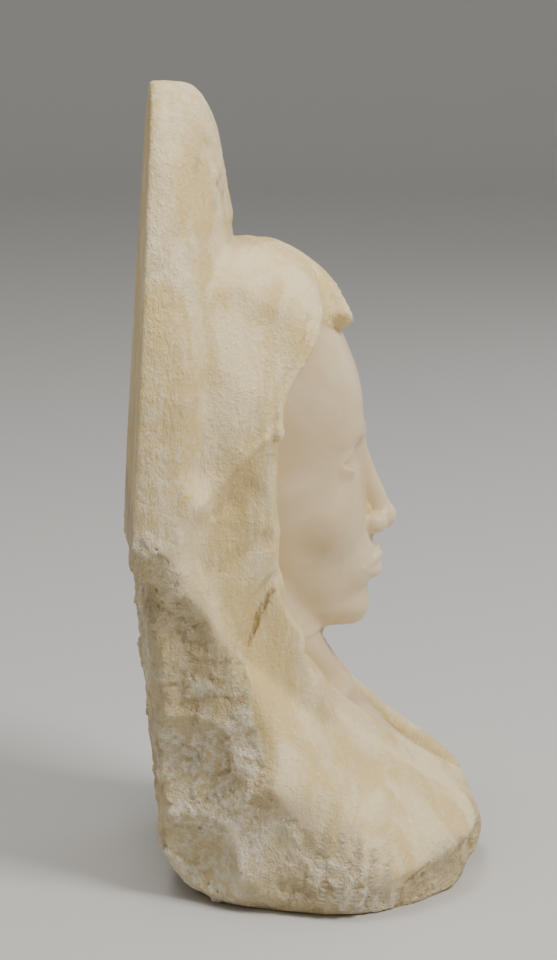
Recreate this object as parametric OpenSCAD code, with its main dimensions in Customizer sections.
// Marble bust: a woman's head, neck and bare upper chest, carved out of one block
// whose back is sawn flat, whose foot is rough and which rises to a spur above the head.
//
// The bust faces -Y, Z is up and the block stands on z = 0. Lengths are in millimetres.
// "Right" and "left" are the figure's own, so her right side is at -X.
//
// The real object is one piece of stone. Each region of the carving, with a surface of
// its own, is a node here: five forms overlap, each is cut back by the forms before it,
// and flat seams divide the hair and the block, so that all regions meet face to face.

/* [Size] */
// Height of the whole block, foot to spur; everything else scales with it
total_h = 400; // [300:5:600]

/* [Stone] */
// Depth of the rough dressing on the foot
foot_rough = 2.2; // [0:0.1:3]
// Depth of the rough dressing on the slab and the spur
slab_rough = 1.2; // [0:0.1:2]
// How far the sawn back leans forward, in degrees
back_lean = 3.5; // [2:0.1:5]

/* [Hair] */
// Depth of the grooves between the locks
lock_depth = 2.4; // [0:0.1:3]
// Locks on each side of the head
locks = 5; // [3:1:8]

/* [Face] */
// How far the nose stands out of the face
nose_out = 15; // [12:0.5:18]
// How deep the eye sockets lie
socket_in = 8; // [4:0.5:9]

/* [Hidden] */

design_h = 400;          // the height that the outlines below are drawn at
big = 1000;              // larger than the block in every direction
axis_x = -5;             // the middle of the block's outline, which is the part's origin
axis_y = -13.5;

chin_z = 125;            // underside of the chin
face_h = 152;            // chin to hairline: three equal thirds
third = face_h / 3;
nose_z = chin_z + third;             // base of the nose
brow_z = chin_z + 2 * third;         // brow line
eye_z = brow_z - 12;                 // middle of the eyes
mouth_z = nose_z - third / 3;        // line between the lips
eye_x = 25;                          // middle of each eye from the middle of the face
head_y = 12;                         // widest part of the head
face_detail = 32;        // how strongly the head's facets crowd towards the face, in degrees

crown_z = 322;           // top of the hair
hair_y = 20;             // the upright line that the locks are combed round
back_y = 75;             // the sawn back at the height sawn_z
sawn_z = 215;
rough_z = 170;           // below this the block is dressed roughly and the back is broken
spur_z = 330;            // the seam between the slab and the spur

skin = [0.87, 0.81, 0.70];
hair = [0.83, 0.77, 0.65];
mantle = [0.85, 0.79, 0.67];
stone = [0.80, 0.74, 0.62];
rough_stone = [0.77, 0.72, 0.62];

// ---------- curves and surfaces ----------

// A Catmull-Rom span from b to c. The points may be lists of any shape.
function span(a, b, c, d, t) =
    0.5 * (2 * b + (c - a) * t + (2 * a - 5 * b + 4 * c - d) * t * t
           + (3 * b - a - 3 * c + d) * t * t * t);

// A smooth curve through the points, at u from 0 to len(points) - 1.
function through(points, u) =
    let (last = len(points) - 1, i = min(floor(u), last - 1), t = u - i)
    span(points[max(i - 1, 0)], points[i], points[i + 1], points[min(i + 2, last)], t);

// The same, round a closed loop of points, at u from 0 to len(points).
function round_loop(points, u) =
    let (n = len(points), i = floor(u) % n, t = u - floor(u))
    span(points[(i + n - 1) % n], points[i], points[(i + 1) % n], points[(i + 2) % n], t);

// A smooth value from rows [z, value, ...], sorted by z, at height z.
function at(rows, z, i = 0) =
    i >= len(rows) - 2 || z < rows[i + 1][0]
        ? through(rows, i + min(1, max(0, (z - rows[i][0]) / (rows[i + 1][0] - rows[i][0]))))
        : at(rows, z, i + 1);

// A level's points run from the middle of the back round the right side to the front.
// Its other half is share times as wide.
function other_half(level, share) =
    [for (i = [len(level) - 2:-1:1]) [-level[i][0] * share, level[i][1], level[i][2]]];

function level_ring(level, sides, share = 1) =
    let (whole = concat(level, other_half(level, share)))
    [for (i = [0:sides - 1]) round_loop(whole, i * len(whole) / sides)];

function bump(v) = exp(-v * v);

function signed_power(v, p) = sign(v) * pow(abs(v), p);

// An uneven surface that never repeats within the block, from about -1 to 1.
function uneven(p) =
    0.45 * sin(p[0] * 5.3 + p[2] * 3.1 + 40) * sin(p[1] * 6.1 - p[2] * 4.3)
    + 0.35 * sin(p[0] * 11.7 - p[2] * 9.1) * cos(p[1] * 10.3 + p[0] * 4.7)
    + 0.2 * sin(p[2] * 19 + p[1] * 13 + p[0] * 17);

// Moves the points of a ring away from, or towards, the block's upright axis.
function roughened(ring, depth) =
    [for (p = ring)
        let (k = 1 + depth * uneven(p) / (norm([p[0], p[1]]) + 1))
        [p[0] * k, p[1] * k, p[2]]];

// A closed solid through rings of equally many points, from the bottom ring to the top.
module loft(rings) {
    n = len(rings[0]);
    m = len(rings);
    bottom = [for (i = [0:n - 1]) i];
    top = [for (i = [n - 1:-1:0]) (m - 1) * n + i];
    walls = [for (k = [0:m - 2], i = [0:n - 1])
        let (j = (i + 1) % n, low = k * n, high = low + n)
        each [[low + i, high + j, low + j], [low + i, high + i, high + j]]];
    polyhedron(points = [for (r = rings) each r], faces = concat([bottom], walls, [top]));
}

// A smooth solid through levels of control points, with steps rings to each level.
module net(levels, sides, steps)
    loft([for (u = [0:1 / steps:len(levels) - 1]) level_ring(through(levels, u), sides)]);

// Draws its children as one mesh.
module one_mesh() resize([0, 0, 0]) children();

// ---------- head, neck and chest ----------

// Half-width, front and back of the skull and jaw, without the features.
skull = [
    [chin_z, 8, -28, -6],
    [chin_z + 3, 18, -38, 6],
    [chin_z + 10, 28, -43, 20],
    [chin_z + 22, 36, -44, 34],
    [chin_z + 40, 43, -43, 46],
    [chin_z + 60, 49, -43, 54],
    [chin_z + 80, 53, -43, 58],
    [chin_z + 100, 56, -42.5, 60],
    [chin_z + 125, 58, -41, 60],
    [chin_z + 145, 56, -34.5, 58],
    [chin_z + 162, 49, -23, 54],
    [chin_z + 174, 36, -10, 46],
    [chin_z + 180, 14, 8, 30]
];

// How far the nose stands out of the face, as a share of nose_out.
nose = [
    [nose_z - 5, 0], [nose_z, 0.3], [nose_z + 4, 0.82], [nose_z + 9, 1],
    [nose_z + 20, 0.72], [nose_z + 34, 0.36], [brow_z - 6, 0.16], [brow_z + 6, 0]
];

// A rounded bump of this height, centred up the face at z = middle.
function swell(height, x, half_w, z, middle, half_h) =
    height * bump(x / half_w) * bump((z - middle) / half_h);

// How far the features stand out of the face at x, z.
function features(x, z) =
    let (side = abs(x), along_nose = (z - nose_z) / third)
    nose_out * max(0, at(nose, z)[1]) * bump(x / (10 - 4 * along_nose))
    + swell(5, side - 9, 5, z, nose_z + 6, 6)
    + swell(4, x, 22, z, mouth_z + 1, 14)
    + swell(3.2, x, 13, z, mouth_z + 4.5, 3)
    + swell(3.4, x, 12, z, mouth_z - 5, 3.5)
    - swell(2.5, x, 18, z, mouth_z, 1.8)
    + swell(4, x, 13, z, chin_z + 12, 9)
    - swell(socket_in, side - eye_x + 2, 13, z, eye_z + 1, 9)
    + swell(4.5, side - eye_x, 9, z, eye_z - 1, 5.5)
    + swell(2, side - 34, 12, z, eye_z - 28, 14);

// The turn of each point is bent so that more of them lie across the face.
function head_ring(z, sides = 36) =
    let (row = at(skull, z), half_w = row[1], squareness = 0.88)
    [for (i = [0:sides - 1])
        let (turn = 360 * i / sides, a = turn + face_detail * sin(turn), forward = max(0, -cos(a)),
             x = -half_w * signed_power(sin(a), squareness),
             reach = (cos(a) < 0 ? head_y - row[2] : row[3] - head_y) * pow(abs(cos(a)), squareness))
        [x, head_y + sign(cos(a)) * max(0, reach) - features(x, z) * pow(forward, 0.7), z]];

module head_form() loft([for (z = [chin_z:5:chin_z + 180]) head_ring(z)]);

// The neck rises from the pit between the collar bones, and leans a little forward.
module neck_form()
    net([
        [[0, 34, 78], [-30, 30, 78], [-40, 8, 78], [-28, -26, 78], [0, -42, 78]],
        [[0, 32, 98], [-28, 28, 98], [-37, 8, 98], [-24, -20, 98], [0, -33, 99]],
        [[0, 30, 118], [-26, 28, 118], [-34, 8, 118], [-22, -16, 118], [0, -23, 119]],
        [[0, 30, 140], [-24, 26, 140], [-30, 8, 140], [-20, -12, 140], [0, -18, 140]],
        [[0, 28, 156], [-20, 24, 156], [-25, 8, 156], [-16, -6, 156], [0, -10, 156]]
    ], 28, 2);

// The bare chest slopes forward from the neck down to the front of the foot.
module chest_form()
    net([
        [[0, 30, 34], [-40, 24, 34], [-52, -16, 34], [-40, -66, 34], [0, -94, 34]],
        [[0, 30, 50], [-40, 24, 50], [-52, -10, 50], [-36, -58, 50], [0, -82, 50]],
        [[0, 30, 68], [-40, 24, 68], [-50, -4, 68], [-32, -42, 68], [0, -60, 68]],
        [[0, 30, 84], [-38, 24, 84], [-47, 2, 84], [-28, -30, 84], [0, -46, 84]],
        [[0, 30, 96], [-34, 22, 96], [-42, 6, 96], [-22, -18, 96], [0, -30, 96]]
    ], 32, 3);

// ---------- hair ----------

// The grooves between the locks run down and back round the head.
function combed(ring) =
    [for (p = ring)
        let (a = atan2(p[0], p[1] - hair_y),
             groove = cos(2 * locks * a + p[2] * 2.2 * sign(p[0])) * min(1, abs(p[0]) / 20),
             k = 1 + lock_depth * groove / (norm([p[0], p[1] - hair_y]) + 1))
        [p[0] * k, hair_y + (p[1] - hair_y) * k, p[2]]];

// Parted over the forehead, full beside the cheeks, and lost in the shoulders below.
hair_levels = [
    [[0, 58, 80], [-48, 52, 80], [-62, 22, 80], [-54, -22, 80], [-36, -20, 80], [0, 8, 80]],
    [[0, 58, 96], [-52, 52, 96], [-68, 24, 96], [-58, -18, 96], [-34, -20, 96], [0, 8, 96]],
    [[0, 58, 114], [-56, 53, 114], [-72, 26, 114], [-60, -12, 114], [-32, -14, 114], [0, 12, 114]],
    [[0, 58, 140], [-60, 54, 140], [-74, 28, 140], [-62, -8, 140], [-32, -6, 140], [0, 14, 140]],
    [[0, 58, 175], [-62, 54, 175], [-76, 28, 175], [-65, -3, 175], [-40, 2, 175], [0, 14, 175]],
    [[0, 58, 210], [-63, 54, 210], [-77, 28, 210], [-66, -4, 210], [-44, 6, 210], [0, 10, 210]],
    [[0, 58, 236], [-62, 54, 236], [-76, 27, 236], [-67, -10, 236], [-46, 2, 236], [0, 4, 236]],
    [[0, 58, 254], [-60, 54, 254], [-74, 25, 254], [-63, -20, 254], [-42, -12, 254], [0, -4, 254]],
    [[0, 58, 268], [-58, 54, 268], [-70, 23, 268], [-56, -23, 268], [-35, -24, 268], [0, -22, 268]],
    [[0, 58, 280], [-55, 54, 280], [-66, 22, 280], [-50, -24, 280], [-27, -33, 280], [0, -34, 280]],
    [[0, 58, 292], [-51, 53, 292], [-60, 21, 292], [-44, -21, 292], [-23, -31, 292], [0, -33, 292]],
    [[0, 57, 304], [-45, 52, 304], [-52, 20, 304], [-36, -14, 304], [-18, -24, 304], [0, -26, 304]],
    [[0, 55, 314], [-36, 50, 314], [-40, 20, 314], [-26, -5, 314], [-13, -13, 314], [0, -14, 314]],
    [[0, 52, crown_z], [-22, 46, crown_z], [-24, 22, crown_z], [-14, 6, crown_z], [-6, 1, crown_z], [0, 3, crown_z]]
];

module hair_form()
    loft([for (u = [0:0.5:len(hair_levels) - 1])
        combed(level_ring(through(hair_levels, u), 46))]);

// ---------- the block ----------

// The outside of the block from the foot to the spur, as if the figure were not there.
block_levels = [
    [[0, 40, 0], [-58, 38, 0], [-80, 4, 0], [-86, -40, 0], [-52, -84, 0], [0, -94, 0]],
    [[0, 54, 8], [-64, 50, 8], [-89, 4, 8], [-95, -40, 8], [-60, -90, 8], [0, -103, 8]],
    [[0, 61, 26], [-68, 57, 26], [-93, 6, 26], [-97, -40, 26], [-60, -90, 26], [0, -104, 26]],
    [[0, 63, 48], [-68, 60, 48], [-93, 12, 48], [-90, -34, 48], [-52, -74, 48], [0, -91, 48]],
    [[0, 65, 66], [-68, 61, 66], [-91, 18, 66], [-82, -22, 66], [-44, -54, 66], [0, -68, 66]],
    [[0, 67, 88], [-68, 63, 88], [-89, 22, 88], [-72, -10, 88], [-38, -32, 88], [0, -42, 88]],
    [[0, 69, 108], [-68, 65, 108], [-87, 27, 108], [-64, 0, 108], [-34, -10, 108], [0, -12, 108]],
    [[0, 71, 130], [-68, 67, 130], [-86, 36, 130], [-56, 12, 130], [-30, 8, 130], [0, 8, 130]],
    [[0, 72, 150], [-68, 69, 150], [-86, 42, 150], [-58, 24, 150], [-30, 20, 150], [0, 18, 150]],
    [[0, 70, 166], [-68, 68, 166], [-87, 46, 166], [-60, 28, 166], [-30, 24, 166], [0, 22, 166]],
    [[0, 92, 180], [-70, 90, 180], [-87, 48, 180], [-62, 30, 180], [-30, 26, 180], [0, 24, 180]],
    [[0, 92, 230], [-68, 90, 230], [-85, 50, 230], [-62, 34, 230], [-30, 28, 230], [0, 26, 230]],
    [[0, 92, 280], [-62, 88, 280], [-76, 52, 280], [-54, 34, 280], [-28, 28, 280], [0, 26, 280]],
    [[0, 90, 320], [-52, 84, 320], [-62, 52, 320], [-42, 34, 320], [-20, 26, 320], [0, 22, 320]],
    [[0, 90, 350], [-42, 82, 350], [-50, 54, 350], [-32, 36, 350], [-14, 28, 350], [4, 25, 350]],
    [[0, 90, 378], [-30, 80, 378], [-38, 56, 378], [-24, 40, 378], [-10, 32, 378], [4, 30, 378]],
    [[0, 88, 394], [-18, 76, 394], [-24, 58, 394], [-14, 46, 394], [-6, 39, 394], [3, 37, 394]],
    [[0, 82, 400], [-10, 72, 400], [-12, 60, 400], [-8, 52, 400], [-3, 47, 400], [2, 45, 400]]
];

function block_ring(u) =
    let (ring = level_ring(through(block_levels, u), 44, 0.9))
    u == 0 ? ring : roughened(ring, ring[0][2] < rough_z ? foot_rough : slab_rough);

module block_form() loft([for (u = [0:0.5:len(block_levels) - 1]) block_ring(u)]);

// Everything in front of the sawn back.
module in_front_of_back()
    translate([0, back_y, sawn_z]) rotate([back_lean, 0, 0]) translate([-big / 2, -big, -big / 2])
        cube(big);

// ---------- seams ----------

module right_side() translate([-big, -big / 2, -big / 2]) cube(big);

module left_side() translate([0, -big / 2, -big / 2]) cube(big);

module above_spur_seam() translate([-big / 2, -big / 2, spur_z]) cube(big);

module below_spur_seam() translate([-big / 2, -big / 2, spur_z - big]) cube(big);

// A prism across the whole block, from its outline as [y, z].
module across(outline)
    rotate([90, 0, 90]) translate([0, 0, -big / 2]) linear_extrude(big) polygon(outline);

foot_edge = [[-big, 24], [-60, 26], [-6, 31], [26, 58], [44, 112], [64, 168], [big, 168]];

module below_foot_edge() across(concat([[-big, -big]], foot_edge, [[big, -big]]));

module above_foot_edge() across(concat([[-big, big]], foot_edge, [[big, big]]));

mantle_edge = [[20, -big], [30, 90], [34, 160], [-big, 160]];

module inside_mantle_edge() across(concat([[-big, -big]], mantle_edge));

module outside_mantle_edge() across(concat([[big, -big]], mantle_edge, [[-big, big], [big, big]]));

// The V that the mantle leaves open over the chest, from the front.
right_of_neckline = [[-16, 56], [-28, 74], [-33, 96], [-33, 170]];
left_of_neckline = [for (i = [len(right_of_neckline) - 1:-1:0]) [-right_of_neckline[i][0], right_of_neckline[i][1]]];

module neckline()
    rotate([90, 0, 0]) linear_extrude(big) polygon(concat([[0, 42]], right_of_neckline, left_of_neckline));

// ---------- the regions ----------

module form(i) {
    if (i == 0) head_form();
    if (i == 1) neck_form();
    if (i == 2) chest_form();
    if (i == 3) hair_form();
    if (i == 4) block_form();
}

// One form, cut back by the forms before it and by any children.
module region(i)
    scale(total_h / design_h) translate([-axis_x, -axis_y, 0]) one_mesh() difference() {
        intersection() {
            form(i);
            in_front_of_back();
        }
        for (j = [0:1:i - 1]) form(j);
        children();
    }

module head() color(skin) region(0);

module neck() color(skin) region(1);

module chest() color(skin) region(2);

module hair_right() color(hair) region(3) left_side();

module hair_left() color(hair) region(3) right_side();

module mantle_right() color(mantle) region(4) {
    outside_mantle_edge();
    below_foot_edge();
    neckline();
    left_side();
}

module mantle_left() color(mantle) region(4) {
    outside_mantle_edge();
    below_foot_edge();
    neckline();
    right_side();
}

module spur() color(stone) region(4) below_spur_seam();

module back_slab() color(stone) region(4) {
    inside_mantle_edge();
    below_foot_edge();
    above_spur_seam();
}

module foot() color(rough_stone) region(4) above_foot_edge();

head();
neck();
chest();
hair_right();
hair_left();
mantle_right();
mantle_left();
spur();
back_slab();
foot();
